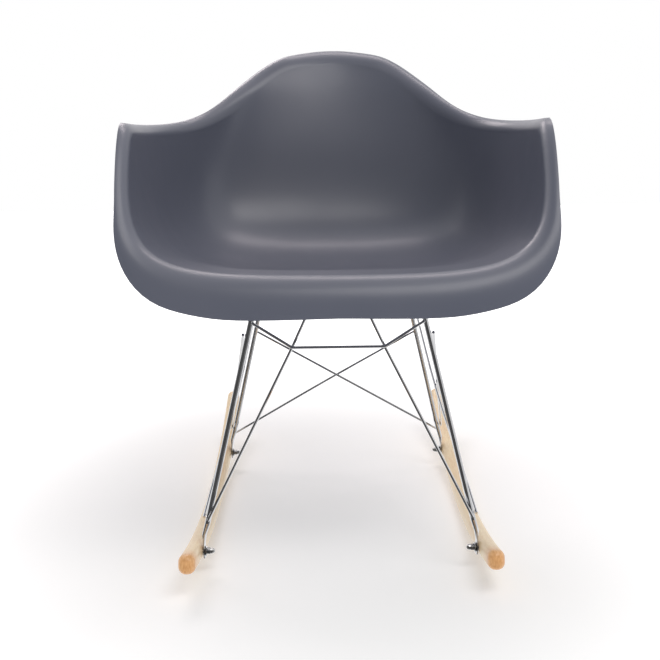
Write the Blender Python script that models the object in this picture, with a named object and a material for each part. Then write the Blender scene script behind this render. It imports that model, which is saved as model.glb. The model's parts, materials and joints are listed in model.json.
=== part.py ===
"""A rocking armchair: moulded shell, welded wire frame and two curved wooden runners.

Metres, +Z up, the chair faces -Y, and the origin is on the floor under the middle of the chair.
"""
from math import asin, cos, pi, radians, sin, sqrt

import bmesh
import bpy
import numpy as np
from mathutils import Matrix, Vector

GAP = 0.0003                    # clearance between pieces that touch

# ---- shell -------------------------------------------------------------------------------
SHELL_T = 0.0055                # wall thickness
# Cross-stations from the seat's front edge, through the seat and up the back to its top. Each
# has the centre line's y and z, the rim's x, y and z, and the section's three fullness values.
STATIONS = np.array([
    (-0.295, 0.4475, 0.291, -0.183, 0.634, 0.91, 0.99, 0.03),
    (-0.210, 0.4400, 0.292, -0.130, 0.632, 0.89, 0.985, 0.04),
    (-0.120, 0.4240, 0.290, -0.070, 0.6305, 0.85, 0.98, 0.07),
    (-0.025, 0.4130, 0.282, -0.005, 0.630, 0.80, 0.98, 0.10),
    (0.060, 0.4220, 0.264, 0.050, 0.631, 0.77, 0.99, 0.14),
    (0.125, 0.4620, 0.238, 0.095, 0.636, 0.72, 0.99, 0.20),
    (0.163, 0.5300, 0.207, 0.129, 0.647, 0.64, 0.97, 0.26),
    (0.185, 0.6030, 0.175, 0.159, 0.668, 0.53, 0.90, 0.30),
    (0.205, 0.6690, 0.142, 0.187, 0.698, 0.43, 0.80, 0.32),
    (0.221, 0.7160, 0.108, 0.211, 0.728, 0.36, 0.70, 0.33),
    (0.233, 0.7450, 0.064, 0.228, 0.748, 0.34, 0.67, 0.33),
    (0.238, 0.7560, 0.000, 0.238, 0.756, 0.34, 0.67, 0.33),
])
TOP_STATION = len(STATIONS) - 1
POLE_START = TOP_STATION - 1.5  # from here the rim takes the centre line's normal
CORNER_STATION = 1.1            # how far back the arm's rounded front corner reaches
CORNER_POWER = 6.0
# Rolled lip along the rim: place (0 seat centre, 1 arm corner, 2 back top), rise and turn-over.
LIP = np.array([
    (0.00, 0.040, 0.059),
    (0.30, 0.041, 0.063),
    (0.46, 0.037, 0.058),
    (0.57, 0.026, 0.030),
    (0.66, 0.020, 0.0185),
    (0.76, 0.018, 0.0175),
    (1.00, 0.018, 0.0185),
    (1.40, 0.018, 0.0165),
    (1.65, 0.026, 0.0200),
    (2.00, 0.036, 0.0220),
])
LIP_ANGLE = radians(85)
SHELL_ROWS = 18                 # mesh rows from front to back top
SHELL_HALF_COLUMNS = 12         # mesh columns on each side of the centre line
RIM_CROWDING = 1.6              # draws the columns together towards the rim
LIP_ROWS = 4
SEAT_MIDDLE = Vector((0, 0, 0.42))

# ---- shock mounts under the seat -----------------------------------------------------------
MOUNT_X = 0.100
MOUNT_Y = {"front": -0.200, "rear": 0.090}
BOSS_R = 0.013
INSERT_R = 0.0048
INSERT_BORE_R = 0.0033
INSERT_L = 0.012
RUBBER_R = 0.0125
RUBBER_H = 0.011
RUBBER_BEVEL = 0.001
PLATE_T = 0.003
PLATE_W = 0.030                 # along y
PLATE_MARGIN = 0.016            # from the screw to the plate's inner edge
PLATE_CORNER = 0.004
SCREW_R = 0.003
SCREW_HOLE_R = SCREW_R + GAP
SCREW_REACH = 0.010             # how far the screw enters its insert
HEAD_R = 0.0055                 # domed heads of screws and bolts
HEAD_H = 0.0035
SOCKET_R = 0.0018
SOCKET_DEPTH = 0.0018
WASHER_R = 0.0072
WASHER_T = 0.0012

# ---- wire frame ----------------------------------------------------------------------------
ROD_R = 0.0042                  # legs and rails
WIRE_R = 0.0022                 # braces
RAIL_X = 0.1177
RAIL_Z = 0.3988
RAIL_BEND = 0.018
LEG_TOP_Y = {"front": -0.2262, "rear": 0.1194}
JOINT_X = 0.1940                # where the braces meet the feet
JOINT_Z = 0.0780
FOOT_T = 0.0040                 # flattened foot
FOOT_W = 0.0150
FOOT_BELOW = 0.0088             # from the bolt down to the foot's end
FOOT_ABOVE = 0.0135             # from the bolt up to where the rod starts to round again
NECK_ABOVE = 0.0260             # from the bolt up to the half-round neck
NECK_IN = 0.0008
NECK_HALVES = (0.0036, 0.0052)  # its half-widths across and along the runner
SHIN_Z = 0.120                  # a point on the straight leg
TRUSS_BEND_X = 0.0660           # lower corners of the front wire
TRUSS_BEND_Z = 0.3330
TRUSS_TOP_X = 0.0415
TRUSS_TOP_Z = 0.3860
TRUSS_END_Z = 0.3700            # where its ends meet the legs
TRUSS_END_IN = 0.0015
STRUT_FOOT_Z = JOINT_Z + 0.006
BRACE_TOP_Z = {"front": 0.3520, "rear": 0.3400}
BRACE_FOOT_Z = {"front": JOINT_Z + 0.009, "rear": JOINT_Z + 0.004}
REAR_BRACE_TOP_Z = 0.2730
REAR_BRACE_FOOT_Z = JOINT_Z - 0.006
REAR_BRACE_DROP = 0.003         # how much lower the outer one of the two rear braces lies
REAR_BRACE_IN = 0.002
TOUCH = ROD_R + WIRE_R + GAP    # from a rod's centre line to a wire's beside it
CROSS = 2 * WIRE_R + GAP        # between the centre lines of two crossing wires

# ---- heights under the seat ----------------------------------------------------------------
PLATE_Z = RAIL_Z + ROD_R + GAP  # underside of the welded plates, on the rails
RUBBER_Z = PLATE_Z + PLATE_T + GAP
BOSS_Z = RUBBER_Z + RUBBER_H + GAP

# ---- rockers -------------------------------------------------------------------------------
RUNNER_R = 1.120                # radius of the running edge
CONTACT_Y = -0.0530             # where the runners touch the floor
RUNNER_X = 0.2145
RUNNER_W = 0.024
RUNNER_H = 0.028
RUNNER_CORNER = 0.009
RUNNER_FRONT_Y = -0.3516
RUNNER_REAR_Y = 0.3523
RUNNER_ROWS = 25
TIP_L = 0.010                   # rounded ends
TIP_ROWS = ((0.0, 0.50), (0.3, 0.82), (1.0, 1.0))   # share of TIP_L, size of the section
BOLT_Y = {"front": -0.2635, "rear": 0.1495}
BOLT_R = 0.003
BOLT_HOLE_R = BOLT_R + GAP
RECESS_R = 0.0082               # the bolt's head and washer lie in a recess
RECESS_DEPTH = 0.0055
NUT_R = 0.0052                  # over the corners
NUT_L = 0.012
NUT_HEX_L = 0.0050
NUT_BORE_L = 0.0074
BOLT_END = 0.0066               # how far the bolt's end enters the dome nut
CUT_L = 0.06                    # cutters this long pass right through a piece

SIDES = {"left": -1, "right": 1}
ENDS = ("front", "rear")


def clear_scene():
    for thing in list(bpy.data.objects):
        bpy.data.objects.remove(thing, do_unlink=True)


def material(name, colour, roughness, metallic):
    mat = bpy.data.materials.new(name)
    mat.use_nodes = True
    shader = mat.node_tree.nodes["Principled BSDF"]
    shader.inputs["Base Color"].default_value = (*colour, 1)
    shader.inputs["Roughness"].default_value = roughness
    shader.inputs["Metallic"].default_value = metallic
    mat.diffuse_color = (*colour, 1)
    return mat


def add_object(name, bm, mat, smooth_angle=40):
    mesh = bpy.data.meshes.new(name)
    bmesh.ops.recalc_face_normals(bm, faces=bm.faces)
    bm.to_mesh(mesh)
    bm.free()
    mesh.materials.append(mat)
    mesh.shade_smooth()
    mesh.set_sharp_from_angle(angle=radians(smooth_angle))
    obj = bpy.data.objects.new(name, mesh)
    bpy.context.collection.objects.link(obj)
    return obj


def cutter(name, bm):
    mesh = bpy.data.meshes.new(name)
    bmesh.ops.recalc_face_normals(bm, faces=bm.faces)
    bm.to_mesh(mesh)
    bm.free()
    obj = bpy.data.objects.new(name, mesh)
    bpy.context.collection.objects.link(obj)
    obj.hide_render = True
    obj.display_type = "WIRE"
    return obj


def boolean(obj, tool, operation):
    mod = obj.modifiers.new(operation.lower(), "BOOLEAN")
    mod.object = tool
    mod.operation = operation
    mod.solver = "EXACT"


# ---- shell surface -------------------------------------------------------------------------
def mirrored_stations():
    """STATIONS and two more beyond the top, where the rim comes down again on the other side."""
    rows = list(STATIONS)
    for k in (1, 2):
        beyond = 2 * STATIONS[-1] - STATIONS[-1 - k]
        beyond[3:5] = STATIONS[-1 - k][3:5]
        rows.append(beyond)
    return np.array(rows)


def spline_bends(points):
    """Second derivatives of the natural cubic spline through evenly spaced points."""
    count = len(points)
    matrix = np.eye(count)
    right = np.zeros_like(points)
    for i in range(1, count - 1):
        matrix[i, i - 1:i + 2] = (1, 4, 1)
        right[i] = 6 * (points[i - 1] - 2 * points[i] + points[i + 1])
    return np.linalg.solve(matrix, right)


SPLINE = mirrored_stations()
BENDS = spline_bends(SPLINE)


def station_values(u):
    """Smooth values of STATIONS at u."""
    u = np.clip(u, 0, TOP_STATION)
    i = np.minimum(u.astype(int), TOP_STATION - 1)
    f = (u - i)[..., None]
    g = 1 - f
    straight = SPLINE[i] * g + SPLINE[i + 1] * f
    return straight + ((g ** 3 - g) * BENDS[i] + (f ** 3 - f) * BENDS[i + 1]) / 6


def shell_point(u, v):
    """Upper surface at station u, and at v from -1 (left rim) to 1 (right rim)."""
    s = station_values(u)
    cy, cz, rx, ry, rz, k1, k2, kh = (s[..., i] for i in range(8))
    t = np.abs(v)
    x = rx * (3 * t * (1 - t) ** 2 * k1 + 3 * t * t * (1 - t) * k2 + t ** 3)
    h = 3 * t * t * (1 - t) * kh + t ** 3
    return np.stack([np.sign(v) * x, cy + (ry - cy) * h, cz + (rz - cz) * h], -1)


def shell_grid(rows, half_columns):
    w = np.linspace(-1, 1, 2 * half_columns + 1)
    v = np.sign(w) * (1 - (1 - np.abs(w)) ** RIM_CROWDING)
    front = CORNER_STATION * (1 - (1 - np.abs(v) ** CORNER_POWER) ** (1 / CORNER_POWER))
    along = np.linspace(0, 1, rows + 1)[:, None]
    u = front[None, :] + (TOP_STATION - front[None, :]) * along
    v = np.broadcast_to(v[None, :], u.shape)
    return u, v, shell_point(u, v)


def surface_normal(u, v, step=1e-3):
    """Unit normal of the upper surface, pointing into the seat.

    Near the back's top the sections shrink to a point, so there it turns into the normal of the
    centre line.
    """
    u = np.clip(u, step, TOP_STATION - step)
    v = np.clip(v, 2 * step - 1, 1 - 2 * step)
    du = shell_point(u + step, v) - shell_point(u - step, v)
    dv = shell_point(u, v + step) - shell_point(u, v - step)
    n = np.cross(dv, du)
    n /= np.linalg.norm(n, axis=-1, keepdims=True)
    middle = np.cross((1.0, 0.0, 0.0), shell_point(u, 0 * v) - shell_point(u - step, 0 * v))
    middle /= np.linalg.norm(middle, axis=-1, keepdims=True)
    w = np.clip((u - POLE_START) / (TOP_STATION - POLE_START), 0, 1)
    w = (w * w * (3 - 2 * w))[..., None]
    n = n * (1 - w) + middle * w
    return n / np.linalg.norm(n, axis=-1, keepdims=True)


def rim_loop(rows, half_columns):
    """Grid places round the rim, anticlockwise from the left end of the front edge."""
    last = 2 * half_columns
    front = [(0, j) for j in range(last + 1)]
    right = [(i, last) for i in range(1, rows)]
    left = [(i, 0) for i in range(rows - 1, 0, -1)]
    return front + right + [(rows, 0)] + left


def rim_spots(rim, rows, half_columns):
    """0 at the seat's centre, 1 at the arm's corner and 2 at the back's top, on both sides."""
    steps = np.linalg.norm(np.roll(rim, -1, 0) - rim, axis=1)
    corner = 2 * half_columns
    top = corner + rows
    run = np.concatenate([[0], np.cumsum(steps[half_columns:top])])
    bend = corner - half_columns
    half = np.where(np.arange(len(run)) <= bend, run / run[bend],
                    1 + (run - run[bend]) / (run[-1] - run[bend]))
    spots = np.zeros(len(rim))
    for k, value in enumerate(half):
        spots[half_columns + k] = value
        spots[(half_columns - k) % len(rim)] = value
    return spots


def lip_rings(rim, normals, spots, lip_rows):
    tangent = np.roll(rim, -1, 0) - np.roll(rim, 1, 0)
    tangent /= np.linalg.norm(tangent, axis=1, keepdims=True)
    normals = normals - (normals * tangent).sum(1, keepdims=True) * tangent
    normals /= np.linalg.norm(normals, axis=1, keepdims=True)
    outward = np.cross(tangent, normals)
    rise = np.interp(spots, LIP[:, 0], LIP[:, 1])[:, None]
    turn = np.interp(spots, LIP[:, 0], LIP[:, 2])[:, None]
    rings = []
    for angle in np.linspace(0, LIP_ANGLE, lip_rows + 1)[1:]:
        rings.append(rim + outward * rise * sin(angle) - normals * turn * (1 - cos(angle)))
    return rings


def shell_sheet(rows, half_columns, lip_rows):
    """The upper surface and its rolled lip as one open sheet."""
    u, v, grid = shell_grid(rows, half_columns)
    loop = rim_loop(rows, half_columns)
    rim = np.array([grid[at] for at in loop])
    normals = np.array([surface_normal(u[at], v[at]) for at in loop])
    spots = rim_spots(rim, rows, half_columns)
    bm = bmesh.new()
    last = 2 * half_columns
    pole = bm.verts.new(grid[rows, 0])
    verts = [[bm.verts.new(grid[i, j]) for j in range(last + 1)] for i in range(rows)]
    for i in range(rows - 1):
        for j in range(last):
            bm.faces.new((verts[i][j], verts[i][j + 1], verts[i + 1][j + 1], verts[i + 1][j]))
    for j in range(last):
        bm.faces.new((verts[rows - 1][j], verts[rows - 1][j + 1], pole))
    inner = [pole if i == rows else verts[i][j] for i, j in loop]
    for ring in lip_rings(rim, normals, spots, lip_rows):
        outer = [bm.verts.new(point) for point in ring]
        for k in range(len(loop)):
            n = (k + 1) % len(loop)
            bm.faces.new((inner[n], inner[k], outer[k], outer[n]))
        inner = outer
    return bm


def seat_height(x, y):
    """Height of the upper surface over (x, y) in the seat."""
    u, v = np.meshgrid(np.linspace(0.2, 6, 117), np.linspace(0, 0.8, 81))    # the seat's part
    points = shell_point(u, v).reshape(-1, 3)
    near = np.argmin((points[:, 0] - abs(x)) ** 2 + (points[:, 1] - y) ** 2)
    return points[near, 2]


def boss(x, y, bottom):
    """A round boss whose top follows the middle of the shell's wall."""
    bm = bmesh.new()
    sides = 16
    low, high = [], []
    for k in range(sides):
        px = x + BOSS_R * cos(2 * pi * k / sides)
        py = y + BOSS_R * sin(2 * pi * k / sides)
        low.append(bm.verts.new((px, py, bottom)))
        high.append(bm.verts.new((px, py, seat_height(px, py) - SHELL_T / 2)))
    centre = bm.verts.new((x, y, seat_height(x, y) - SHELL_T / 2))
    bm.faces.new(low)
    for k in range(sides):
        n = (k + 1) % sides
        bm.faces.new((low[k], low[n], high[n], high[k]))
        bm.faces.new((high[k], high[n], centre))
    return bm


def make_shell(mat):
    obj = add_object("seat_shell", shell_sheet(SHELL_ROWS, SHELL_HALF_COLUMNS, LIP_ROWS), mat)
    bm = bmesh.new()
    bm.from_mesh(obj.data)
    # The wall grows from the upper surface downwards, so its faces must look up.
    middle = min(bm.faces, key=lambda f: (f.calc_center_median() - SEAT_MIDDLE).length)
    if middle.normal.z < 0:
        bmesh.ops.reverse_faces(bm, faces=bm.faces)
    bm.to_mesh(obj.data)
    bm.free()
    obj.data.set_sharp_from_angle(angle=radians(50))
    wall = obj.modifiers.new("wall", "SOLIDIFY")
    wall.thickness = SHELL_T
    wall.offset = -1
    wall.use_even_offset = True
    for side, sign in SIDES.items():
        for end in ENDS:
            x, y = sign * MOUNT_X, MOUNT_Y[end]
            boolean(obj, cutter(f"boss_{end}_{side}", boss(x, y, BOSS_Z)), "UNION")
    depth = INSERT_L + 2 * GAP
    for side, sign in SIDES.items():
        for end in ENDS:
            x, y = sign * MOUNT_X, MOUNT_Y[end]
            hole = rod_mesh(INSERT_R + GAP, 2 * depth, 16)
            bmesh.ops.translate(hole, vec=(x, y, BOSS_Z), verts=hole.verts)
            boolean(obj, cutter(f"boss_hole_{end}_{side}", hole), "DIFFERENCE")
    return obj


# ---- round pieces --------------------------------------------------------------------------
def rod_mesh(radius, length, sides):
    bm = bmesh.new()
    bmesh.ops.create_cone(bm, cap_ends=True, segments=sides, radius1=radius, radius2=radius,
                          depth=length)
    return bm


def turned(profile, sides):
    """A closed profile of (radius, z) turned round Z; radius 0 makes a point on the axis."""
    bm = bmesh.new()
    rings = []
    for r, z in profile:
        if r == 0:
            rings.append([bm.verts.new((0, 0, z))])
            continue
        rings.append([bm.verts.new((r * cos(2 * pi * k / sides), r * sin(2 * pi * k / sides), z))
                      for k in range(sides)])
    pairs = list(zip(rings, rings[1:]))
    if len(rings[0]) > 1:
        pairs.append((rings[-1], rings[0]))
    for a, b in pairs:
        for k in range(sides):
            n = (k + 1) % sides
            face = [a[k % len(a)], a[n % len(a)], b[n % len(b)], b[k % len(b)]]
            bm.faces.new(list(dict.fromkeys(face)))
    return bm


def tube_profile(inner, outer, bottom, top):
    return [(inner, bottom), (outer, bottom), (outer, top), (inner, top)]


# ---- swept rods ----------------------------------------------------------------------------
def rounded(points, radius, steps):
    """The polyline with each inner corner replaced by an arc."""
    points = [Vector(p) for p in points]
    path = [points[0]]
    for before, corner, after in zip(points, points[1:], points[2:]):
        a = (before - corner).normalized()
        b = (after - corner).normalized()
        half = a.angle(b) / 2
        reach = radius / np.tan(half)
        centre = corner + (a + b).normalized() * radius / sin(half)
        start = (corner + a * reach - centre).normalized()
        end = (corner + b * reach - centre).normalized()
        path += [centre + start.slerp(end, k / steps) * radius for k in range(steps + 1)]
    path.append(points[-1])
    return path


def sweep(path, sides, section, across=Vector((1, 0, 0))):
    """A closed solid of ovals along the path; section(k, n) gives their two half-widths."""
    bm = bmesh.new()
    rings = []
    count = len(path)
    for k, point in enumerate(path):
        ahead = (path[min(k + 1, count - 1)] - path[max(k - 1, 0)]).normalized()
        first = (across - ahead * across.dot(ahead)).normalized()
        second = ahead.cross(first)
        a, b = section(k, count)
        ring = []
        for j in range(sides):
            angle = 2 * pi * (j + 0.5) / sides
            ring.append(bm.verts.new(point + first * a * cos(angle) + second * b * sin(angle)))
        rings.append(ring)
    for ring, following in zip(rings, rings[1:]):
        for j in range(sides):
            n = (j + 1) % sides
            bm.faces.new((ring[j], ring[n], following[n], following[j]))
    bm.faces.new(rings[0])
    bm.faces.new(rings[-1])
    return bm


def round_sweep(path, radius=WIRE_R, sides=10):
    return sweep([Vector(p) for p in path], sides, lambda k, n: (radius, radius),
                 Vector((0, 1, 0)))


def wire(name, points, mat, bend=0.012, steps=4):
    return add_object(name, round_sweep(rounded(points, bend, steps)), mat)


def bowed(start, finish, bow, steps=10):
    """A line from start to finish that bows aside by the vector bow at its middle."""
    start, finish, bow = Vector(start), Vector(finish), Vector(bow)
    return [start.lerp(finish, k / steps) + bow * sin(pi * k / steps) ** 2
            for k in range(steps + 1)]


def leg_x(z):
    """The x of a leg's centre line at height z, on the +x side."""
    return RAIL_X + (JOINT_X - RAIL_X) * (RAIL_Z - z) / (RAIL_Z - JOINT_Z)


def leg_y(end, z):
    return LEG_TOP_Y[end] + (BOLT_Y[end] - LEG_TOP_Y[end]) * (RAIL_Z - z) / (RAIL_Z - JOINT_Z)


def foot_x():
    return RUNNER_X - RUNNER_W / 2 - GAP - FOOT_T / 2


def cross_hole(radius, length, x, end, sides=12):
    """A cutter along X through the bolt's place at one end of the chair."""
    hole = rod_mesh(radius, length, sides)
    turn = Matrix.Translation((x, BOLT_Y[end], bolt_z(end))) @ Matrix.Rotation(pi / 2, 4, "Y")
    bmesh.ops.transform(hole, matrix=turn, verts=hole.verts)
    return hole


def side_frame(name, sign, mat):
    """One bent rod: a leg with a flattened foot, the rail under the seat, and the other leg."""
    def leg(end):
        y = BOLT_Y[end]
        z = bolt_z(end)
        return [Vector((foot_x(), y, z - FOOT_BELOW)), Vector((foot_x(), y, z + FOOT_ABOVE)),
                Vector((foot_x() - NECK_IN, y, z + NECK_ABOVE)), Vector((JOINT_X, y, JOINT_Z)),
                Vector((leg_x(SHIN_Z), leg_y(end, SHIN_Z), SHIN_Z))]

    front = leg("front")
    rear = leg("rear")
    corners = [front[-1], Vector((RAIL_X, LEG_TOP_Y["front"], RAIL_Z)),
               Vector((RAIL_X, LEG_TOP_Y["rear"], RAIL_Z)), rear[-1]]
    path = front[:-1] + rounded(corners, RAIL_BEND, 6) + rear[:-1][::-1]
    path = [Vector((sign * p.x, p.y, p.z)) for p in path]
    flat = (FOOT_T / 2, FOOT_W / 2)
    ends = {0: flat, 1: flat, 2: NECK_HALVES}

    def section(k, n):
        return ends.get(min(k, n - 1 - k), (ROD_R, ROD_R))

    obj = add_object(name, sweep(path, 12, section), mat)
    for end in ENDS:
        hole = cross_hole(BOLT_HOLE_R, CUT_L, sign * foot_x(), end)
        boolean(obj, cutter(f"foot_hole_{end}_{name}", hole), "DIFFERENCE")
    return obj


# ---- rockers -------------------------------------------------------------------------------
def runner_step():
    first = asin((RUNNER_FRONT_Y - CONTACT_Y) / RUNNER_R)
    last = asin((RUNNER_REAR_Y - CONTACT_Y) / RUNNER_R)
    return first, last, (last - first) / RUNNER_ROWS


def runner_centre_z():
    """Height of the running edge's centre, with the lowest facet on the floor."""
    return RUNNER_R * cos(runner_step()[2] / 2)


def bolt_z(end):
    drop = sqrt((RUNNER_R - RUNNER_H / 2) ** 2 - (BOLT_Y[end] - CONTACT_Y) ** 2)
    return runner_centre_z() - drop


def rounded_rectangle(width, height, radius, steps=3):
    points = []
    for cx, cy, start in ((1, -1, -pi / 2), (1, 1, 0), (-1, 1, pi / 2), (-1, -1, pi)):
        for k in range(steps + 1):
            angle = start + pi / 2 * k / steps
            points.append((cx * (width / 2 - radius) + radius * cos(angle),
                           cy * (height / 2 - radius) + radius * sin(angle)))
    return points


def make_runner(name, sign, mat):
    first, last, step = runner_step()
    near = round(-first / step - 0.5)
    shift = first + (near + 0.5) * step         # puts the middle of a facet on the floor
    angles = [first + k * step - shift for k in range(RUNNER_ROWS + 1)]
    section = rounded_rectangle(RUNNER_W, RUNNER_H, RUNNER_CORNER)
    tip = TIP_L / RUNNER_R
    rows = [(first + tip * share, scale) for share, scale in TIP_ROWS]
    rows += [(a, 1.0) for a in angles[1:-1]]
    rows += [(last - tip * share, scale) for share, scale in TIP_ROWS[::-1]]
    bm = bmesh.new()
    rings = []
    for angle, scale in rows:
        ring = []
        for px, pz in section:
            r = RUNNER_R - RUNNER_H / 2 - pz * scale
            ring.append(bm.verts.new((sign * RUNNER_X + px * scale, CONTACT_Y + r * sin(angle),
                                      runner_centre_z() - r * cos(angle))))
        rings.append(ring)
    count = len(section)
    for ring, following in zip(rings, rings[1:]):
        for j in range(count):
            n = (j + 1) % count
            bm.faces.new((ring[j], ring[n], following[n], following[j]))
    bm.faces.new(rings[0])
    bm.faces.new(rings[-1])
    obj = add_object(name, bm, mat)
    for end in ENDS:
        hole = cross_hole(BOLT_HOLE_R, CUT_L, sign * RUNNER_X, end)
        boolean(obj, cutter(f"bolt_hole_{end}_{name}", hole), "DIFFERENCE")
        outer = sign * (RUNNER_X + RUNNER_W / 2)
        recess = cross_hole(RECESS_R, 2 * RECESS_DEPTH, outer, end, 20)
        boolean(obj, cutter(f"recess_{end}_{name}", recess), "DIFFERENCE")
    return obj


def put(obj, x, y, z, axis_sign=0):
    """Put a turned piece in place; with axis_sign, its +Z points along +X or -X."""
    obj.location = (x, y, z)
    if axis_sign:
        obj.rotation_euler = (0, axis_sign * pi / 2, 0)
    return obj


def domed_screw(shank_r, shank_l):
    """Profile of a screw with a domed head above z = 0, its shank below and a round socket."""
    floor = HEAD_H - SOCKET_DEPTH
    return [(0, -shank_l), (shank_r, -shank_l), (shank_r, 0), (HEAD_R, 0), (HEAD_R, HEAD_H * 0.35),
            (HEAD_R * 0.82, HEAD_H * 0.80), (HEAD_R * 0.46, HEAD_H), (SOCKET_R, HEAD_H),
            (SOCKET_R, floor), (0, floor)]


def dome_nut():
    """Hexagon with a dome on it and a blind bore that opens at z = 0."""
    sides = 12
    hexagon = [NUT_R if k % 2 == 0 else NUT_R * cos(pi / 6) for k in range(sides)]
    bore = [BOLT_HOLE_R] * sides
    dome_l = NUT_L - NUT_HEX_L
    levels = [(bore, NUT_BORE_L), (bore, 0.0), (hexagon, 0.0), (hexagon, NUT_HEX_L)]
    for scale, share in ((0.84, 0.08), (0.80, 0.45), (0.52, 0.83)):
        levels.append(([NUT_R * scale] * sides, NUT_HEX_L + dome_l * share))
    bm = bmesh.new()
    rings = []
    for radii, z in levels:
        rings.append([bm.verts.new((r * cos(2 * pi * k / sides), r * sin(2 * pi * k / sides), z))
                      for k, r in enumerate(radii)])
    tip = bm.verts.new((0, 0, NUT_L))
    bm.faces.new(rings[0])
    for k in range(sides):
        n = (k + 1) % sides
        for ring, following in zip(rings, rings[1:]):
            bm.faces.new((ring[k], ring[n], following[n], following[k]))
        bm.faces.new((rings[-1][k], rings[-1][n], tip))
    return bm


def make_runner_fasteners(side, sign, end, steel):
    y, z = BOLT_Y[end], bolt_z(end)
    recess = RUNNER_X + RUNNER_W / 2 - RECESS_DEPTH
    inner = foot_x() - FOOT_T / 2
    tag = f"{end}_{side}"
    washer = tube_profile(BOLT_HOLE_R, WASHER_R, 0, WASHER_T)
    put(add_object(f"runner_washer_outer_{tag}", turned(washer, 16), steel),
        sign * (recess + GAP), y, z, sign)
    put(add_object(f"runner_washer_inner_{tag}", turned(washer, 16), steel),
        sign * (inner - GAP), y, z, -sign)
    head = recess + 2 * GAP + WASHER_T
    nut = inner - 2 * GAP - WASHER_T
    bolt = domed_screw(BOLT_R, head - nut + BOLT_END)
    put(add_object(f"runner_bolt_{tag}", turned(bolt, 12), steel), sign * head, y, z, sign)
    put(add_object(f"runner_nut_{tag}", dome_nut(), steel), sign * nut, y, z, -sign)


# ---- shock mounts --------------------------------------------------------------------------
def mount_plate(name, x, y, sign, mat):
    bm = bmesh.new()
    outer_edge = RAIL_X + ROD_R / 2
    inner_edge = MOUNT_X - PLATE_MARGIN
    middle = (outer_edge + inner_edge) / 2
    shape = rounded_rectangle(outer_edge - inner_edge, PLATE_W, PLATE_CORNER, 2)
    low = [bm.verts.new((sign * middle + px, y + py, PLATE_Z)) for px, py in shape]
    bottom = bm.faces.new(low)
    grown = bmesh.ops.extrude_face_region(bm, geom=[bottom])
    top = [g for g in grown["geom"] if isinstance(g, bmesh.types.BMVert)]
    bmesh.ops.translate(bm, vec=(0, 0, PLATE_T), verts=top)
    obj = add_object(name, bm, mat, 30)
    hole = rod_mesh(SCREW_HOLE_R, CUT_L, 12)
    bmesh.ops.translate(hole, vec=(x, y, PLATE_Z), verts=hole.verts)
    boolean(obj, cutter(f"hole_{name}", hole), "DIFFERENCE")
    return obj


def make_mount(side, sign, end, chrome, steel, rubber, brass):
    x, y = sign * MOUNT_X, MOUNT_Y[end]
    tag = f"{end}_{side}"
    mount_plate(f"mount_plate_{tag}", x, y, sign, chrome)
    edge = RUBBER_R - RUBBER_BEVEL
    body = [(SCREW_HOLE_R, 0), (edge, 0), (RUBBER_R, RUBBER_BEVEL),
            (RUBBER_R, RUBBER_H - RUBBER_BEVEL), (edge, RUBBER_H), (SCREW_HOLE_R, RUBBER_H)]
    put(add_object(f"mount_rubber_{tag}", turned(body, 20), rubber, 50), x, y, RUBBER_Z)
    insert = tube_profile(INSERT_BORE_R, INSERT_R, 0, INSERT_L)
    put(add_object(f"shell_insert_{tag}", turned(insert, 16), brass), x, y, BOSS_Z + GAP)
    washer = tube_profile(SCREW_HOLE_R, WASHER_R, -WASHER_T, 0)
    washer_top = PLATE_Z - GAP
    put(add_object(f"mount_washer_{tag}", turned(washer, 16), steel), x, y, washer_top)
    seat = washer_top - WASHER_T - GAP
    screw = [(r, -z) for r, z in domed_screw(SCREW_R, BOSS_Z + SCREW_REACH - seat)]
    put(add_object(f"mount_screw_{tag}", turned(screw, 12), steel), x, y, seat)


# ---- braces --------------------------------------------------------------------------------
def make_end_truss(end, outward, chrome):
    """The wire that dips between the tops of two legs, on the outer face of the frame."""
    y = leg_y(end, TRUSS_END_Z) + outward * TOUCH
    half = [(leg_x(TRUSS_END_Z) - TRUSS_END_IN, y, TRUSS_END_Z), (TRUSS_BEND_X, y, TRUSS_BEND_Z)]
    points = [(-x, y, z) for x, y, z in half] + half[::-1]
    return wire(f"{end}_truss_lower", points, chrome, bend=0.008)


def make_front_upper_truss(chrome):
    """Two struts from the front legs' feet up to one run under the seat."""
    y_bend = leg_y("front", TRUSS_END_Z) - TOUCH + CROSS
    foot = (leg_x(STRUT_FOOT_Z), leg_y("front", STRUT_FOOT_Z) - TOUCH, STRUT_FOOT_Z)
    half = [foot, (TRUSS_BEND_X, y_bend, TRUSS_BEND_Z), (TRUSS_TOP_X, y_bend, TRUSS_TOP_Z)]
    points = [(-x, y, z) for x, y, z in half] + half[::-1]
    return wire("front_truss_upper", points, chrome, bend=0.010)


def make_side_braces(side, sign, chrome):
    """Two crossing wires on the outer faces of the legs."""
    slope = (JOINT_X - RAIL_X) / (RAIL_Z - JOINT_Z)
    reach = (TOUCH + GAP) * sqrt(1 + slope * slope)

    def touching(end, z):
        return (sign * (leg_x(z) + reach), leg_y(end, z), z)

    path = [touching("front", BRACE_TOP_Z["front"]), touching("rear", BRACE_FOOT_Z["rear"])]
    add_object(f"side_brace_falling_{side}", round_sweep(path), chrome)
    path = bowed(touching("rear", BRACE_TOP_Z["rear"]), touching("front", BRACE_FOOT_Z["front"]),
                 (-sign * CROSS * 1.1, 0, 0))
    add_object(f"side_brace_rising_{side}", round_sweep(path), chrome)


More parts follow.
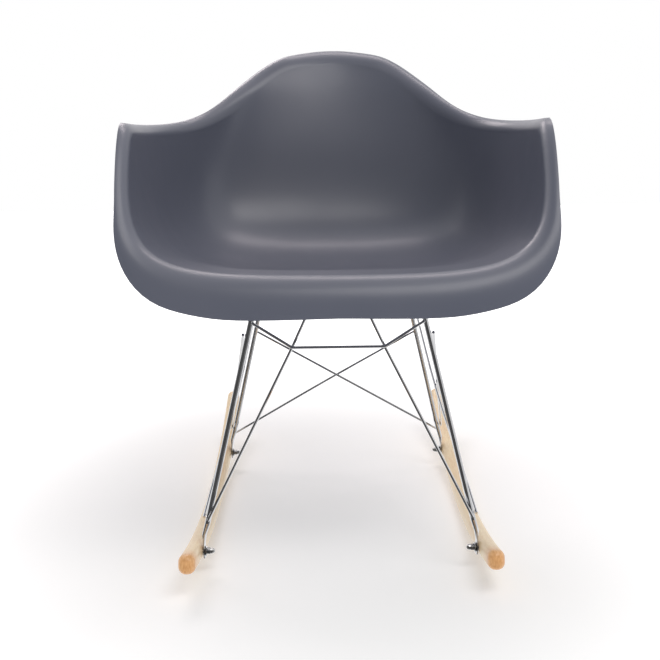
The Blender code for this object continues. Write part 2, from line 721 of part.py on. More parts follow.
def make_rear_braces(chrome):
    """Two crossing wires behind the rear legs; the one that falls to the left passes outside."""
    for name, sign, drop, bow in (("rear_brace_falling_right", -1, 0.0, 0.0),
                                  ("rear_brace_falling_left", 1, REAR_BRACE_DROP, CROSS * 1.1)):
        top_z = REAR_BRACE_TOP_Z - drop
        top = (sign * (leg_x(top_z) - REAR_BRACE_IN), leg_y("rear", top_z) + TOUCH, top_z)
        low_z = REAR_BRACE_FOOT_Z - drop
        low = (-sign * (leg_x(low_z) - REAR_BRACE_IN), leg_y("rear", low_z) + TOUCH, low_z)
        add_object(name, round_sweep(bowed(top, low, (0, bow, 0))), chrome)


def main():
    clear_scene()
    plastic = material("shell_plastic", (0.165, 0.172, 0.200), 0.42, 0.0)
    chrome = material("chrome", (0.80, 0.80, 0.82), 0.08, 1.0)
    steel = material("zinc_steel", (0.62, 0.62, 0.63), 0.28, 1.0)
    rubber = material("mount_rubber", (0.02, 0.02, 0.02), 0.80, 0.0)
    brass = material("insert_brass", (0.78, 0.58, 0.28), 0.35, 1.0)
    wood = material("runner_wood", (0.78, 0.60, 0.42), 0.38, 0.0)
    make_shell(plastic)
    for side, sign in SIDES.items():
        side_frame(f"side_frame_{side}", sign, chrome)
        make_runner(f"runner_{side}", sign, wood)
        make_side_braces(side, sign, chrome)
        for end in ENDS:
            make_mount(side, sign, end, chrome, steel, rubber, brass)
            make_runner_fasteners(side, sign, end, steel)
    make_end_truss("front", -1, chrome)
    make_end_truss("rear", 1, chrome)
    make_front_upper_truss(chrome)
    make_rear_braces(chrome)


main()
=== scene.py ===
import json
from math import asin, cos, pi, radians, sin

import bmesh
import bpy
import numpy as np
from mathutils import Matrix, Vector


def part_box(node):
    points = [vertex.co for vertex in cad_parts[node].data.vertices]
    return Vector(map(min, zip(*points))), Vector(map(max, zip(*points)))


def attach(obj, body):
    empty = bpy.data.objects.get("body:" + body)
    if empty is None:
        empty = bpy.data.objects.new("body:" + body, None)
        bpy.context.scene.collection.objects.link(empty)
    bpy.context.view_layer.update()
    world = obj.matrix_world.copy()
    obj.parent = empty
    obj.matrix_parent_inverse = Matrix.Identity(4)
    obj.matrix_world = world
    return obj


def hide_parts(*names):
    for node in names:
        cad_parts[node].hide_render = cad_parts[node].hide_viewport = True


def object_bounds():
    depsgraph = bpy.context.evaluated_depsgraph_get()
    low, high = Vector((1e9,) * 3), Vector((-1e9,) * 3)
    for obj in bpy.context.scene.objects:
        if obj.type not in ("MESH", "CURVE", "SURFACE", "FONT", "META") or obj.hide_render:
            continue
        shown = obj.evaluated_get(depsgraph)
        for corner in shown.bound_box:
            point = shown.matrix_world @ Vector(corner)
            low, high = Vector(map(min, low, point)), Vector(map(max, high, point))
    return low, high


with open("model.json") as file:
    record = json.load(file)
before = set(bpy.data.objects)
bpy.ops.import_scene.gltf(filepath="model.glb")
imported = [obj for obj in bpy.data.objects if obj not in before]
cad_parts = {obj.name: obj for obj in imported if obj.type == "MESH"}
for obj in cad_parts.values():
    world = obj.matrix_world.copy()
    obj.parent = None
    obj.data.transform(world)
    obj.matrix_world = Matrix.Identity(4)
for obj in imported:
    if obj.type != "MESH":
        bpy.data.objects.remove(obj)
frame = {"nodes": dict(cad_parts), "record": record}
CAD_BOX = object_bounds()
NODES = frame["nodes"]

SIDES = {"left": -1, "right": 1}
ENDS = ("front", "rear")

# ---- shell: the same surface as the CAD shell, in finer steps ------------------------------
SHELL_T = 0.0055
# Stations from the seat's front edge to the back's top: the centre line's y and z, the rim's
# x, y and z, and the section's three fullness values.
STATIONS = np.array([
    (-0.295, 0.4475, 0.291, -0.183, 0.634, 0.91, 0.99, 0.03),
    (-0.210, 0.4400, 0.292, -0.130, 0.632, 0.89, 0.985, 0.04),
    (-0.120, 0.4240, 0.290, -0.070, 0.6305, 0.85, 0.98, 0.07),
    (-0.025, 0.4130, 0.282, -0.005, 0.630, 0.80, 0.98, 0.10),
    (0.060, 0.4220, 0.264, 0.050, 0.631, 0.77, 0.99, 0.14),
    (0.125, 0.4620, 0.238, 0.095, 0.636, 0.72, 0.99, 0.20),
    (0.163, 0.5300, 0.207, 0.129, 0.647, 0.64, 0.97, 0.26),
    (0.185, 0.6030, 0.175, 0.159, 0.668, 0.53, 0.90, 0.30),
    (0.205, 0.6690, 0.142, 0.187, 0.698, 0.43, 0.80, 0.32),
    (0.221, 0.7160, 0.108, 0.211, 0.728, 0.36, 0.70, 0.33),
    (0.233, 0.7450, 0.064, 0.228, 0.748, 0.34, 0.67, 0.33),
    (0.238, 0.7560, 0.000, 0.238, 0.756, 0.34, 0.67, 0.33),
])
TOP_STATION = len(STATIONS) - 1
POLE_START = TOP_STATION - 1.5  # from here the rim takes the centre line's normal
CORNER_STATION = 1.1
CORNER_POWER = 6.0
# The lip round the rim: place (0 seat centre, 1 arm corner, 2 back top), rise and turn-over.
LIP = np.array([
    (0.00, 0.040, 0.059),
    (0.30, 0.041, 0.063),
    (0.46, 0.037, 0.058),
    (0.57, 0.026, 0.030),
    (0.66, 0.020, 0.0185),
    (0.76, 0.018, 0.0175),
    (1.00, 0.018, 0.0185),
    (1.40, 0.018, 0.0165),
    (1.65, 0.026, 0.0200),
    (2.00, 0.036, 0.0220),
])
LIP_ANGLE = radians(85)
SHELL_ROWS = 72
SHELL_HALF_COLUMNS = 48
LIP_ROWS = 14


def mirrored_stations():
    """STATIONS and two more beyond the top, where the rim comes down again on the other side."""
    rows = list(STATIONS)
    for k in (1, 2):
        beyond = 2 * STATIONS[-1] - STATIONS[-1 - k]
        beyond[3:5] = STATIONS[-1 - k][3:5]
        rows.append(beyond)
    return np.array(rows)


def spline_bends(points):
    """Second derivatives of the natural cubic spline through evenly spaced points."""
    count = len(points)
    matrix = np.eye(count)
    right = np.zeros_like(points)
    for i in range(1, count - 1):
        matrix[i, i - 1:i + 2] = (1, 4, 1)
        right[i] = 6 * (points[i - 1] - 2 * points[i] + points[i + 1])
    return np.linalg.solve(matrix, right)


SPLINE = mirrored_stations()
BENDS = spline_bends(SPLINE)


def station_values(u):
    """Smooth values of STATIONS at u."""
    u = np.clip(u, 0, TOP_STATION)
    i = np.minimum(u.astype(int), TOP_STATION - 1)
    f = (u - i)[..., None]
    g = 1 - f
    straight = SPLINE[i] * g + SPLINE[i + 1] * f
    return straight + ((g ** 3 - g) * BENDS[i] + (f ** 3 - f) * BENDS[i + 1]) / 6


def shell_point(u, v):
    """Upper surface at station u, and at v from -1 (left rim) to 1 (right rim)."""
    s = station_values(u)
    cy, cz, rx, ry, rz, k1, k2, kh = (s[..., i] for i in range(8))
    t = np.abs(v)
    x = rx * (3 * t * (1 - t) ** 2 * k1 + 3 * t * t * (1 - t) * k2 + t ** 3)
    h = 3 * t * t * (1 - t) * kh + t ** 3
    return np.stack([np.sign(v) * x, cy + (ry - cy) * h, cz + (rz - cz) * h], -1)


def shell_grid(rows, half_columns):
    w = np.linspace(-1, 1, 2 * half_columns + 1)
    v = np.sign(w) * (1 - (1 - np.abs(w)) ** 1.6)
    front = CORNER_STATION * (1 - (1 - np.abs(v) ** CORNER_POWER) ** (1 / CORNER_POWER))
    along = np.linspace(0, 1, rows + 1)[:, None]
    u = front[None, :] + (TOP_STATION - front[None, :]) * along
    v = np.broadcast_to(v[None, :], u.shape)
    return u, v, shell_point(u, v)


def surface_normal(u, v, step=1e-3):
    """Unit normal of the upper surface, pointing into the seat.

    Near the back's top the sections shrink to a point, so there it turns into the normal of the
    centre line.
    """
    u = np.clip(u, step, TOP_STATION - step)
    v = np.clip(v, 2 * step - 1, 1 - 2 * step)
    du = shell_point(u + step, v) - shell_point(u - step, v)
    dv = shell_point(u, v + step) - shell_point(u, v - step)
    n = np.cross(dv, du)
    n /= np.linalg.norm(n, axis=-1, keepdims=True)
    middle = np.cross((1.0, 0.0, 0.0), shell_point(u, 0 * v) - shell_point(u - step, 0 * v))
    middle /= np.linalg.norm(middle, axis=-1, keepdims=True)
    w = np.clip((u - POLE_START) / (TOP_STATION - POLE_START), 0, 1)
    w = (w * w * (3 - 2 * w))[..., None]
    n = n * (1 - w) + middle * w
    return n / np.linalg.norm(n, axis=-1, keepdims=True)


def rim_loop(rows, half_columns):
    """Grid places round the rim, anticlockwise from the left end of the front edge."""
    last = 2 * half_columns
    front = [(0, j) for j in range(last + 1)]
    right = [(i, last) for i in range(1, rows)]
    left = [(i, 0) for i in range(rows - 1, 0, -1)]
    return front + right + [(rows, 0)] + left


def rim_places(rim, rows, half_columns):
    """0 at the seat's centre, 1 at the arm's corner and 2 at the back's top, on both sides."""
    steps = np.linalg.norm(np.roll(rim, -1, 0) - rim, axis=1)
    corner = 2 * half_columns
    top = corner + rows
    run = np.concatenate([[0], np.cumsum(steps[half_columns:top])])
    bend = corner - half_columns
    half = np.where(np.arange(len(run)) <= bend, run / run[bend],
                    1 + (run - run[bend]) / (run[-1] - run[bend]))
    place = np.zeros(len(rim))
    for k, value in enumerate(half):
        place[half_columns + k] = value
        place[(half_columns - k) % len(rim)] = value
    return place


def smooth_lip(place):
    """Rise and turn-over along the rim, with the corners of the LIP values rounded off."""
    fine = np.linspace(-0.2, 2.2, 481)
    reach = np.clip(np.abs(fine), 0, 4 - np.abs(fine))
    window = np.hanning(31)
    window /= window.sum()
    out = []
    for column in (1, 2):
        values = np.interp(reach, LIP[:, 0], LIP[:, column])
        values = np.convolve(np.pad(values, 15, mode="edge"), window, mode="valid")
        out.append(np.interp(place, fine, values)[:, None])
    return out


def lip_rings(rim, normals, place, lip_rows):
    tangent = np.roll(rim, -1, 0) - np.roll(rim, 1, 0)
    tangent /= np.linalg.norm(tangent, axis=1, keepdims=True)
    normals = normals - (normals * tangent).sum(1, keepdims=True) * tangent
    normals /= np.linalg.norm(normals, axis=1, keepdims=True)
    outward = np.cross(tangent, normals)
    rise, turn = smooth_lip(place)
    rings = []
    for angle in np.linspace(0, LIP_ANGLE, lip_rows + 1)[1:]:
        rings.append(rim + outward * rise * sin(angle) - normals * turn * (1 - cos(angle)))
    return rings


def shell_sheet(rows, half_columns, lip_rows):
    """The upper surface and its rolled lip as one open sheet."""
    u, v, grid = shell_grid(rows, half_columns)
    loop = rim_loop(rows, half_columns)
    rim = np.array([grid[place] for place in loop])
    normals = np.array([surface_normal(u[place], v[place]) for place in loop])
    place = rim_places(rim, rows, half_columns)
    bm = bmesh.new()
    last = 2 * half_columns
    pole = bm.verts.new(grid[rows, 0])
    verts = [[bm.verts.new(grid[i, j]) for j in range(last + 1)] for i in range(rows)]
    for i in range(rows - 1):
        for j in range(last):
            bm.faces.new((verts[i][j], verts[i][j + 1], verts[i + 1][j + 1], verts[i + 1][j]))
    for j in range(last):
        bm.faces.new((verts[rows - 1][j], verts[rows - 1][j + 1], pole))
    inner = [pole if i == rows else verts[i][j] for i, j in loop]
    for ring in lip_rings(rim, normals, place, lip_rows):
        outer = [bm.verts.new(point) for point in ring]
        for k in range(len(loop)):
            n = (k + 1) % len(loop)
            bm.faces.new((inner[n], inner[k], outer[k], outer[n]))
        inner = outer
    return bm


# ---- node helpers --------------------------------------------------------------------------
def new_material(name):
    mat = bpy.data.materials.new(name)
    mat.use_nodes = True
    return mat, mat.node_tree.nodes, mat.node_tree.links


def noise(nodes, links, source, scale, detail=4.0, stretch=(1, 1, 1)):
    mapping = nodes.new("ShaderNodeMapping")
    mapping.inputs["Scale"].default_value = stretch
    texture = nodes.new("ShaderNodeTexNoise")
    texture.inputs["Scale"].default_value = scale
    texture.inputs["Detail"].default_value = detail
    links.new(source, mapping.inputs["Vector"])
    links.new(mapping.outputs["Vector"], texture.inputs["Vector"])
    return texture.outputs["Fac"]


def ramp(nodes, links, source, stops):
    node = nodes.new("ShaderNodeValToRGB")
    while len(node.color_ramp.elements) < len(stops):
        node.color_ramp.elements.new(0.5)
    for element, (place, colour) in zip(node.color_ramp.elements, stops):
        element.position = place
        element.color = (*colour, 1)
    links.new(source, node.inputs["Fac"])
    return node.outputs["Color"]


def remap(nodes, links, source, low, high):
    node = nodes.new("ShaderNodeMapRange")
    node.inputs["To Min"].default_value = low
    node.inputs["To Max"].default_value = high
    links.new(source, node.inputs["Value"])
    return node.outputs["Result"]


def bump(nodes, links, source, shader, strength, distance, below=None):
    node = nodes.new("ShaderNodeBump")
    node.inputs["Strength"].default_value = strength
    node.inputs["Distance"].default_value = distance
    links.new(source, node.inputs["Height"])
    if below:
        links.new(below, node.inputs["Normal"])
    links.new(node.outputs["Normal"], shader.inputs["Normal"])
    return node.outputs["Normal"]


def mix(nodes, links, factor, first, second):
    node = nodes.new("ShaderNodeMix")
    node.data_type = "RGBA"
    links.new(factor, node.inputs["Factor"])
    links.new(first, node.inputs["A"])
    links.new(second, node.inputs["B"])
    return node.outputs["Result"]


def grey(value):
    return (value, value, value)


# ---- materials -----------------------------------------------------------------------------
def shell_material():
    """Satin moulded plastic: a very fine grain, faint flow clouds and a soft sheen."""
    mat, nodes, links = new_material("shell_satin_plastic")
    shader = nodes["Principled BSDF"]
    where = nodes.new("ShaderNodeTexCoord").outputs["Object"]
    clouds = noise(nodes, links, where, 5, 3)
    tone = ramp(nodes, links, clouds, ((0.3, (0.098, 0.110, 0.144)), (0.7, (0.110, 0.121, 0.156))))
    links.new(tone, shader.inputs["Base Color"])
    patches = noise(nodes, links, where, 22, 4)
    links.new(remap(nodes, links, patches, 0.36, 0.46), shader.inputs["Roughness"])
    shader.inputs["IOR"].default_value = 1.5
    shader.inputs["Coat Weight"].default_value = 0.28
    shader.inputs["Coat Roughness"].default_value = 0.24
    shader.inputs["Coat Tint"].default_value = (1.0, 0.93, 0.97, 1)
    flow = noise(nodes, links, where, 38, 2)
    below = bump(nodes, links, flow, shader, 0.05, 0.0006)
    grain = noise(nodes, links, where, 1700, 2)
    bump(nodes, links, grain, shader, 0.10, 0.0001, below)
    return mat


def chrome_material():
    """Chromed steel rod: bright, with faint haze and rub marks along it."""
    mat, nodes, links = new_material("chromed_rod")
    shader = nodes["Principled BSDF"]
    where = nodes.new("ShaderNodeTexCoord").outputs["Object"]
    shader.inputs["Metallic"].default_value = 1
    haze = noise(nodes, links, where, 60, 5)
    tone = ramp(nodes, links, haze, ((0.3, (0.60, 0.60, 0.62)), (0.75, (0.74, 0.74, 0.75))))
    links.new(tone, shader.inputs["Base Color"])
    links.new(remap(nodes, links, haze, 0.05, 0.15), shader.inputs["Roughness"])
    scuffs = noise(nodes, links, where, 900, 3, (1, 1, 0.06))
    bump(nodes, links, scuffs, shader, 0.04, 0.0001)
    return mat


def steel_material():
    """Zinc-plated fasteners: duller, with cloudy passivation."""
    mat, nodes, links = new_material("zinc_plated_steel")
    shader = nodes["Principled BSDF"]
    where = nodes.new("ShaderNodeTexCoord").outputs["Object"]
    shader.inputs["Metallic"].default_value = 1
    clouds = noise(nodes, links, where, 240, 5)
    tone = ramp(nodes, links, clouds, ((0.3, (0.42, 0.42, 0.43)), (0.7, (0.68, 0.67, 0.65))))
    links.new(tone, shader.inputs["Base Color"])
    links.new(remap(nodes, links, clouds, 0.18, 0.38), shader.inputs["Roughness"])
    grain = noise(nodes, links, where, 2500, 2)
    bump(nodes, links, grain, shader, 0.10, 0.0001)
    return mat


def rubber_material():
    mat, nodes, links = new_material("black_rubber")
    shader = nodes["Principled BSDF"]
    where = nodes.new("ShaderNodeTexCoord").outputs["Object"]
    dust = noise(nodes, links, where, 150, 5)
    tone = ramp(nodes, links, dust, ((0.35, grey(0.012)), (0.8, grey(0.035))))
    links.new(tone, shader.inputs["Base Color"])
    links.new(remap(nodes, links, dust, 0.65, 0.9), shader.inputs["Roughness"])
    bump(nodes, links, noise(nodes, links, where, 1500, 2), shader, 0.25, 0.0001)
    return mat


def brass_material():
    mat, nodes, links = new_material("turned_brass")
    shader = nodes["Principled BSDF"]
    where = nodes.new("ShaderNodeTexCoord").outputs["Object"]
    shader.inputs["Metallic"].default_value = 1
    rings = noise(nodes, links, where, 400, 3, (0.1, 0.1, 8))
    tone = ramp(nodes, links, rings, ((0.3, (0.62, 0.44, 0.17)), (0.7, (0.80, 0.62, 0.30))))
    links.new(tone, shader.inputs["Base Color"])
    links.new(remap(nodes, links, rings, 0.2, 0.4), shader.inputs["Roughness"])
    return mat


def wood_material(end_low, end_high):
    """Pale beech: grain along the runner, small flecks, and darker end grain at its two tips."""
    mat, nodes, links = new_material("lacquered_beech")
    shader = nodes["Principled BSDF"]
    where = nodes.new("ShaderNodeTexCoord").outputs["Object"]
    bands = noise(nodes, links, where, 9, 6, (9, 0.7, 9))
    fibres = noise(nodes, links, where, 60, 6, (9, 0.35, 9))
    flecks = noise(nodes, links, where, 210, 2, (4, 0.5, 4))
    light = ramp(nodes, links, bands, ((0.30, (0.90, 0.64, 0.39)), (0.52, (0.95, 0.75, 0.48)),
                                      (0.75, (0.97, 0.82, 0.57))))
    dark = ramp(nodes, links, fibres, ((0.35, (0.82, 0.56, 0.32)), (0.6, (0.96, 0.79, 0.53))))
    blend = nodes.new("ShaderNodeMix")
    blend.data_type = "RGBA"
    blend.inputs["Factor"].default_value = 0.38
    links.new(light, blend.inputs["A"])
    links.new(dark, blend.inputs["B"])
    fleck = ramp(nodes, links, flecks, ((0.62, grey(0.0)), (0.70, grey(1.0))))
    fleck_weight = remap(nodes, links, fleck, 0.0, 0.30)
    brown = nodes.new("ShaderNodeRGB")
    brown.outputs["Color"].default_value = (0.58, 0.37, 0.21, 1)
    side = mix(nodes, links, fleck_weight, blend.outputs["Result"], brown.outputs["Color"])
    # End grain: its weight rises over the last few centimetres of each tip.
    split = nodes.new("ShaderNodeSeparateXYZ")
    links.new(where, split.inputs["Vector"])
    tips = []
    for edge, inner in ((end_low, end_low + 0.055), (end_high, end_high - 0.03)):
        node = nodes.new("ShaderNodeMapRange")
        node.interpolation_type = "SMOOTHSTEP"
        node.inputs["From Min"].default_value = inner
        node.inputs["From Max"].default_value = edge
        links.new(split.outputs["Y"], node.inputs["Value"])
        tips.append(node.outputs["Result"])
    both = nodes.new("ShaderNodeMath")
    both.operation = "MAXIMUM"
    links.new(tips[0], both.inputs[0])
    links.new(tips[1], both.inputs[1])
    rays = noise(nodes, links, where, 160, 5, (4, 1, 1))
    end_tone = ramp(nodes, links, rays, ((0.35, (0.74, 0.36, 0.13)), (0.65, (0.88, 0.49, 0.21))))
    links.new(mix(nodes, links, both.outputs["Value"], side, end_tone), shader.inputs["Base Color"])
    links.new(remap(nodes, links, fibres, 0.30, 0.46), shader.inputs["Roughness"])
    shader.inputs["Coat Weight"].default_value = 0.25
    shader.inputs["Coat Roughness"].default_value = 0.22
    bump(nodes, links, fibres, shader, 0.12, 0.0003)
    return mat


# ---- pieces --------------------------------------------------------------------------------
def add_piece(name, bm, mat, replaced=(), smooth_angle=40):
    mesh = bpy.data.meshes.new(name)
    bmesh.ops.recalc_face_normals(bm, faces=bm.faces)
    bm.to_mesh(mesh)
    bm.free()
    mesh.materials.append(mat)
    mesh.shade_smooth()
    mesh.set_sharp_from_angle(angle=radians(smooth_angle))
    obj = bpy.data.objects.new(name, mesh)
    bpy.context.scene.collection.objects.link(obj)
    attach(obj, "root")
    if replaced:
        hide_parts(*replaced)
    return obj


def seat_height(x, y):
    """Height of the upper surface over (x, y) in the seat."""
    u, v = np.meshgrid(np.linspace(0.2, 6, 117), np.linspace(0, 0.8, 81))
    points = shell_point(u, v).reshape(-1, 3)
    near = np.argmin((points[:, 0] - abs(x)) ** 2 + (points[:, 1] - y) ** 2)
    return points[near, 2]


def make_shell(mat):
    obj = add_piece("seat_shell_fine", shell_sheet(SHELL_ROWS, SHELL_HALF_COLUMNS, LIP_ROWS), mat,
                    ("seat_shell",), 60)
    bm = bmesh.new()
    bm.from_mesh(obj.data)
    middle = min(bm.faces, key=lambda f: (f.calc_center_median() - Vector((0, 0, 0.42))).length)
    if middle.normal.z < 0:
        bmesh.ops.reverse_faces(bm, faces=bm.faces)
    bm.to_mesh(obj.data)
    bm.free()
    wall = obj.modifiers.new("wall", "SOLIDIFY")
    wall.thickness = SHELL_T
    wall.offset = -1
    wall.use_even_offset = True
    edge = obj.modifiers.new("edge", "BEVEL")
    edge.width = 0.0012
    edge.segments = 3
    edge.limit_method = "ANGLE"
    edge.angle_limit = radians(50)
    edge.harden_normals = True
    return obj


def make_bosses(mat):
    """The shell's four round bosses, each over its rubber mount."""
    for side in SIDES:
        for end in ENDS:
            low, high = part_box(f"mount_rubber_{end}_{side}")
            x, y = (low[0] + high[0]) / 2, (low[1] + high[1]) / 2
            bottom = high[2] + 0.0003
            radius = (high[0] - low[0]) / 2 + 0.0005
            bm = bmesh.new()
            sides = 40
            rings = []
            for inset, z in ((0.0007, 0), (0.0, 0.0008)):
                rings.append([(x + (radius - inset) * cos(2 * pi * k / sides),
                               y + (radius - inset) * sin(2 * pi * k / sides), bottom + z)
                              for k in range(sides)])
            top = []
            for k in range(sides):
                px = x + radius * cos(2 * pi * k / sides)
                py = y + radius * sin(2 * pi * k / sides)
                top.append((px, py, seat_height(px, py) - SHELL_T * 0.6))
            rings.append(top)
            loops = [[bm.verts.new(p) for p in ring] for ring in rings]
            for a, b in zip(loops, loops[1:]):
                for k in range(sides):
                    n = (k + 1) % sides
                    bm.faces.new((a[k], a[n], b[n], b[k]))
            bm.faces.new(loops[0])
            bm.faces.new(loops[-1])
            add_piece(f"shell_boss_{end}_{side}", bm, mat, ("seat_shell",))


# ---- runners -------------------------------------------------------------------------------
RUNNER_R = 1.120
CONTACT_Y = -0.0530
RUNNER_FRONT_Y = -0.3516
RUNNER_REAR_Y = 0.3523
RUNNER_H = 0.028
RUNNER_CORNER = 0.0105
RUNNER_ROWS = 90
TIP_L = 0.012
TIP_INSET = 0.0095
TIP_ROWS = 10
CORNER_STEPS = 8
RECESS_R = 0.0082
RECESS_DEPTH = 0.0055
BOLT_HOLE_R = 0.0033


def runner_rows():
    """Angle along the running edge, and how much the section is inset there."""
    first = asin((RUNNER_FRONT_Y - CONTACT_Y) / RUNNER_R)
    last = asin((RUNNER_REAR_Y - CONTACT_Y) / RUNNER_R)
    tip = TIP_L / RUNNER_R
    bends = [pi / 2 * k / TIP_ROWS for k in range(1, TIP_ROWS + 1)]
    opening = [(first + tip * (1 - cos(a)), TIP_INSET * (1 - sin(a))) for a in bends]
    closing = [(first + last - angle, inset) for angle, inset in opening[::-1]]
    span = last - first - 2 * tip
    middle = [(first + tip + span * k / RUNNER_ROWS, 0.0) for k in range(1, RUNNER_ROWS)]
    return opening + middle + closing


def runner_section(width, height, corner):
    points = []
    for cx, cz, start in ((1, -1, -pi / 2), (1, 1, 0), (-1, 1, pi / 2), (-1, -1, pi)):
        for k in range(CORNER_STEPS + 1):
            a = start + pi / 2 * k / CORNER_STEPS
            points.append((cx * (width / 2 - corner) + corner * cos(a),
                           cz * (height / 2 - corner) + corner * sin(a)))
    return points


def cut(obj, holes):
    """Take round holes along X out of the object; each is (x, y, z, radius, length)."""
    for x, y, z, radius, length in holes:
        bm = bmesh.new()
        bmesh.ops.create_cone(bm, cap_ends=True, segments=48, radius1=radius, radius2=radius,
                              depth=length)
        turn = Matrix.Translation((x, y, z)) @ Matrix.Rotation(pi / 2, 4, "Y")
        bmesh.ops.transform(bm, matrix=turn, verts=bm.verts)
        mesh = bpy.data.meshes.new("hole")
        bm.to_mesh(mesh)
        bm.free()
        tool = bpy.data.objects.new("hole", mesh)
        bpy.context.scene.collection.objects.link(tool)
        mod = obj.modifiers.new("hole", "BOOLEAN")
        mod.object = tool
        mod.operation = "DIFFERENCE"
        mod.solver = "EXACT"
        depsgraph = bpy.context.evaluated_depsgraph_get()
        result = bpy.data.meshes.new_from_object(obj.evaluated_get(depsgraph))
        obj.modifiers.remove(mod)
        obj.data = result
        bpy.data.objects.remove(tool, do_unlink=True)


def make_runner(side, sign, mat):
    """The curved runner with softly rounded edges and tips."""
    low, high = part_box(f"runner_{side}")
    x = (low[0] + high[0]) / 2
    width = high[0] - low[0]
    bm = bmesh.new()
    rings = []
    for angle, inset in runner_rows():
        w, h = width - 2 * inset, RUNNER_H - 2 * inset
        ring = []
        for px, pz in runner_section(w, h, min(RUNNER_CORNER, w * 0.49, h * 0.49)):
            r = RUNNER_R - RUNNER_H / 2 - pz
            ring.append(bm.verts.new((x + px, CONTACT_Y + r * sin(angle),
                                      RUNNER_R - r * cos(angle))))
        rings.append(ring)
    count = len(rings[0])
    for a, b in zip(rings, rings[1:]):
        for j in range(count):
            n = (j + 1) % count
            bm.faces.new((a[j], a[n], b[n], b[j]))
    bm.faces.new(rings[0])
    bm.faces.new(rings[-1])
    obj = add_piece(f"runner_{side}_fine", bm, mat, (f"runner_{side}",), 50)
    holes = []
    for end in ENDS:
        low_w, high_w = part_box(f"runner_washer_outer_{end}_{side}")
        y, z = (low_w[1] + high_w[1]) / 2, (low_w[2] + high_w[2]) / 2
        holes.append((x, y, z, BOLT_HOLE_R, 2 * width))
        holes.append((x + sign * width / 2, y, z, RECESS_R, 2 * RECESS_DEPTH))
    cut(obj, holes)


# ---- light, floor and camera ---------------------------------------------------------------
DOME_STOPS = ((0.0, 0.20), (0.48, 0.20), (0.60, 0.42), (1.0, 0.55))  # from below to above
DARK_SIDE = (-0.30, -0.95, 0.0)      # reflections are darkest towards here
SHINE_STOPS = ((0.0, 1.0), (0.52, 1.0), (0.68, 0.10), (1.0, 0.08))
MIDDLE = (0, 0, 0.45)                # what the softboxes point at
WARM_WHITE = (1.0, 0.98, 0.97)
PINKISH = (1.0, 0.91, 0.92)
# Each softbox has its name, place, width, height, power and colour.
SOFTBOXES = (
    ("front_softbox", (0.8, -1.4, 2.8), 2.0, 1.0, 27, WARM_WHITE),
    ("overhead_softbox", (0.25, 0.75, 2.3), 1.0, 0.5, 7, PINKISH),
    ("back_softbox", (-0.9, 1.5, 2.1), 1.4, 0.7, 14, PINKISH),
)
FLOOR_HALF = 6                       # half the floor's side
FLOOR_GAP = 0.0005                   # the floor lies this far under the runners
# Painted light: the floor glows, weakly near the chair and fully white further out.
GLOW_RADIUS = (0.30, 1.40)           # the floor brightens between these distances
GLOW_STRENGTH = (0.22, 1.00)
SENSOR = 36
CAMERA_LENS = 48.3                   # mm, on that sensor
CAMERA_FOOT = (-0.011, -1.373, 0.635)
CAMERA_PITCH = 12.7
CAMERA_YAW = 0.3
CAMERA_ROLL = 0.7
CAMERA_SHIFT_Y = 0.0915              # from the camera's frame to the chair's


def aim(obj, target):
    direction = Vector(target) - obj.location
    obj.rotation_euler = direction.to_track_quat("-Z", "Y").to_euler()


def area_light(name, location, target, width, power, colour, height):
    data = bpy.data.lights.new(name, "AREA")
    data.shape = "RECTANGLE"
    data.size = width
    data.size_y = height
    data.energy = power
    data.color = colour
    obj = bpy.data.objects.new(name, data)
    bpy.context.scene.collection.objects.link(obj)
    obj.location = location
    aim(obj, target)
    return obj


def make_floor():
    bm = bmesh.new()
    bmesh.ops.create_grid(bm, x_segments=2, y_segments=2, size=FLOOR_HALF)
    mesh = bpy.data.meshes.new("studio_floor")
    bm.to_mesh(mesh)
    bm.free()
    floor = bpy.data.objects.new("studio_floor", mesh)
    floor.location = (0, 0, CAD_BOX[0][2] - FLOOR_GAP)
    bpy.context.scene.collection.objects.link(floor)
    mat, nodes, links = new_material("studio_paper")
    shader = nodes["Principled BSDF"]
    where = nodes.new("ShaderNodeTexCoord").outputs["Object"]
    tone = ramp(nodes, links, noise(nodes, links, where, 3, 3), ((0.3, grey(0.86)), (0.7, grey(0.88))))
    links.new(tone, shader.inputs["Base Color"])
    shader.inputs["Roughness"].default_value = 0.9
    shader.inputs["Specular IOR Level"].default_value = 0.1
    shader.inputs["Emission Color"].default_value = (1, 1, 1, 1)
    # Painted light: the floor's glow grows with distance from the chair, so the floor near the chair
    # is lit less.
    reach = nodes.new("ShaderNodeVectorMath")
    reach.operation = "LENGTH"
    links.new(where, reach.inputs[0])
    glow = nodes.new("ShaderNodeMapRange")
    glow.interpolation_type = "SMOOTHSTEP"
    glow.inputs["From Min"].default_value = GLOW_RADIUS[0]
    glow.inputs["From Max"].default_value = GLOW_RADIUS[1]
    glow.inputs["To Min"].default_value = GLOW_STRENGTH[0]
    glow.inputs["To Max"].default_value = GLOW_STRENGTH[1]
    links.new(reach.outputs["Value"], glow.inputs["Value"])
    links.new(glow.outputs["Result"], shader.inputs["Emission Strength"])
    mesh.materials.append(mat)
    floor.visible_glossy = False


def dome(nodes, links, source, low, high, stops):
    """World brightness that goes through the stops as source goes from low to high."""
    node = nodes.new("ShaderNodeMapRange")
    node.inputs["From Min"].default_value = low
    node.inputs["From Max"].default_value = high
    links.new(source, node.inputs["Value"])
    return ramp(nodes, links, node.outputs["Result"], [(p, grey(v)) for p, v in stops])


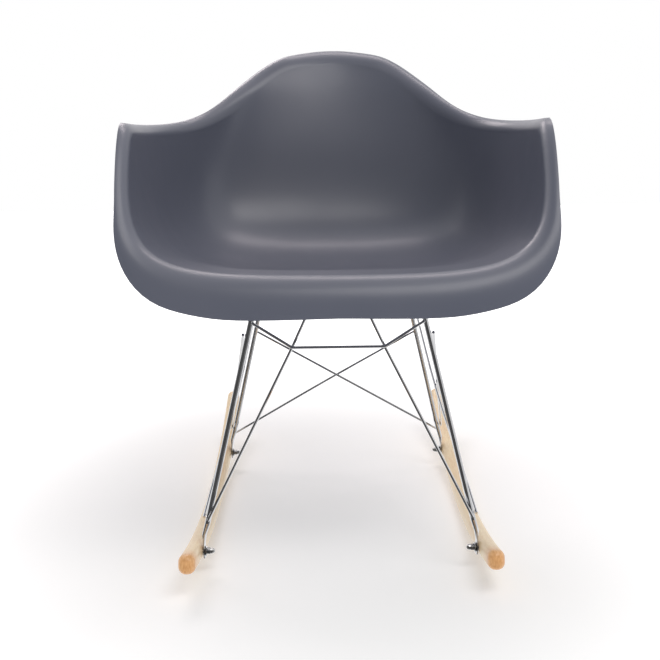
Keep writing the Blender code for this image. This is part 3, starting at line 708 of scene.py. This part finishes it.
def make_world():
    """White to the camera, soft from above for diffuse light, dark in front for reflections."""
    world = bpy.data.worlds.new("studio")
    bpy.context.scene.world = world
    world.use_nodes = True
    world.cycles.sampling_method = "NONE"
    nodes, links = world.node_tree.nodes, world.node_tree.links
    background = nodes["Background"]
    path = nodes.new("ShaderNodeLightPath")
    where = nodes.new("ShaderNodeTexCoord")
    split = nodes.new("ShaderNodeSeparateXYZ")
    links.new(where.outputs["Generated"], split.inputs["Vector"])
    soft = dome(nodes, links, split.outputs["Z"], -1, 1, DOME_STOPS)
    facing = nodes.new("ShaderNodeVectorMath")
    facing.operation = "DOT_PRODUCT"
    facing.inputs[1].default_value = DARK_SIDE
    links.new(where.outputs["Generated"], facing.inputs[0])
    shine = dome(nodes, links, facing.outputs["Value"], -1, 1, SHINE_STOPS)
    white = nodes.new("ShaderNodeRGB")
    white.outputs["Color"].default_value = (1.0, 1.0, 1.0, 1)
    lit = mix(nodes, links, path.outputs["Is Glossy Ray"], soft, shine)
    shown = mix(nodes, links, path.outputs["Is Camera Ray"], lit, white.outputs["Color"])
    links.new(shown, background.inputs["Color"])
    background.inputs["Strength"].default_value = 1.0


def make_lights():
    for name, place, width, height, power, colour in SOFTBOXES:
        area_light(name, place, MIDDLE, width, power, colour, height)


def make_camera():
    data = bpy.data.cameras.new("camera")
    data.sensor_width = SENSOR
    data.lens = CAMERA_LENS
    obj = bpy.data.objects.new("camera", data)
    bpy.context.scene.collection.objects.link(obj)
    turn = Matrix.Rotation(radians(-CAMERA_YAW), 4, "Z")
    tilt = Matrix.Rotation(radians(90 - CAMERA_PITCH), 4, "X")
    roll = Matrix.Rotation(radians(-CAMERA_ROLL), 4, "Z")
    back = Matrix.Translation((0, -CAMERA_SHIFT_Y, 0))
    obj.matrix_world = back @ turn @ Matrix.Translation(CAMERA_FOOT) @ tilt @ roll
    bpy.context.scene.camera = obj


def main():
    bpy.context.scene.view_settings.view_transform = "Standard"
    make_camera()
    make_world()
    make_lights()
    make_floor()
    finishes = {"shell_plastic": shell_material(), "chrome": chrome_material(),
                "zinc_steel": steel_material(), "mount_rubber": rubber_material(),
                "insert_brass": brass_material(),
                "runner_wood": wood_material(RUNNER_FRONT_Y, RUNNER_REAR_Y)}
    for part in frame["record"]["subparts"]:
        obj = NODES[part["node"]]
        obj.data.materials.clear()
        obj.data.materials.append(finishes[part["material_slot"]])
    make_shell(finishes["shell_plastic"])
    make_bosses(finishes["shell_plastic"])
    for side, sign in SIDES.items():
        make_runner(side, sign, finishes["runner_wood"])


main()
